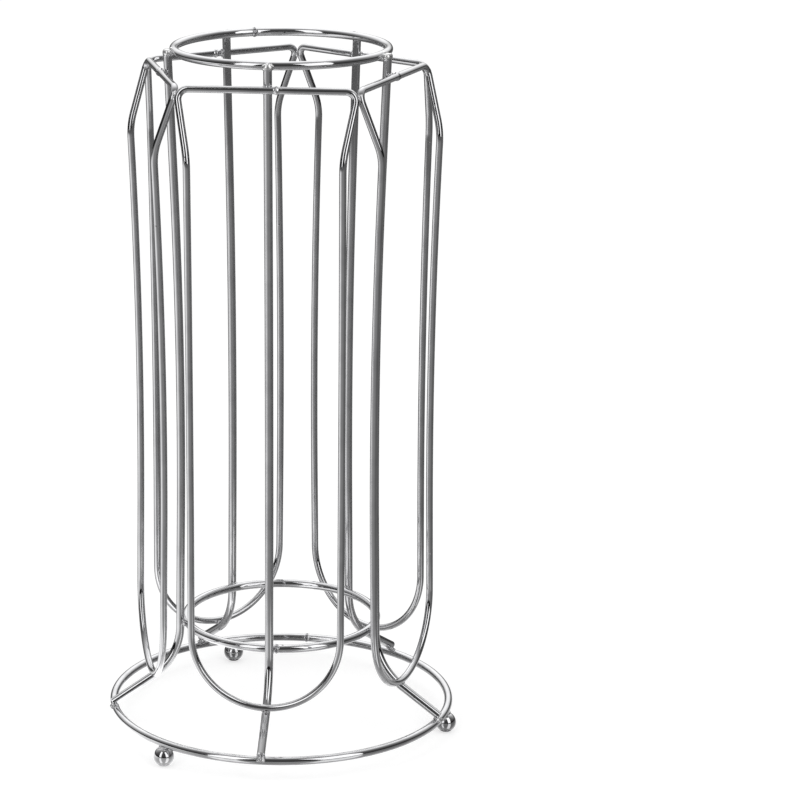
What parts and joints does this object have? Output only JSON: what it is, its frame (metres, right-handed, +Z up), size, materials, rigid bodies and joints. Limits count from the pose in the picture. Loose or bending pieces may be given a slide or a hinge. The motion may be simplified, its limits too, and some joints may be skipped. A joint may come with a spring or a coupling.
{
  "type": "coffee capsule stand",
  "caption": "Welded chrome wire stand that keeps drum-shaped coffee capsules in upright columns round an open cage, on ball feet.",
  "frame": {"origin": "on the table, under the common axis of the three rings", "axes": "+Z up along the axis of the rings; -Y to the front, where post 1 and loop 1 stand"},
  "size_m": [0.1289, 0.128, 0.2523],
  "materials": {
    "wire": "bright chrome plating on drawn round steel wire",
    "ball": "bright chrome plating on a smooth steel ball",
    "weld_bead": "bright chrome plating on a small uneven weld"
  },
  "bodies": {
    "root": {"top_ring": "wire", "collar_ring": "wire", "base_ring": "wire", "post_1": "wire", "post_2": "wire", "post_3": "wire", "post_4": "wire", "post_5": "wire", "capsule_loop_1": "wire", "capsule_loop_2": "wire", "capsule_loop_3": "wire", "capsule_loop_4": "wire", "capsule_loop_5": "wire", "ball_foot_1": "ball", "ball_foot_2": "ball", "ball_foot_3": "ball", "top_ring_welds": "weld_bead", "collar_ring_welds": "weld_bead", "loop_bar_welds": "weld_bead", "loop_corner_welds": "weld_bead", "loop_foot_welds": "weld_bead", "base_ring_welds": "weld_bead", "ball_foot_welds": "weld_bead"}
  },
  "joints": []
}
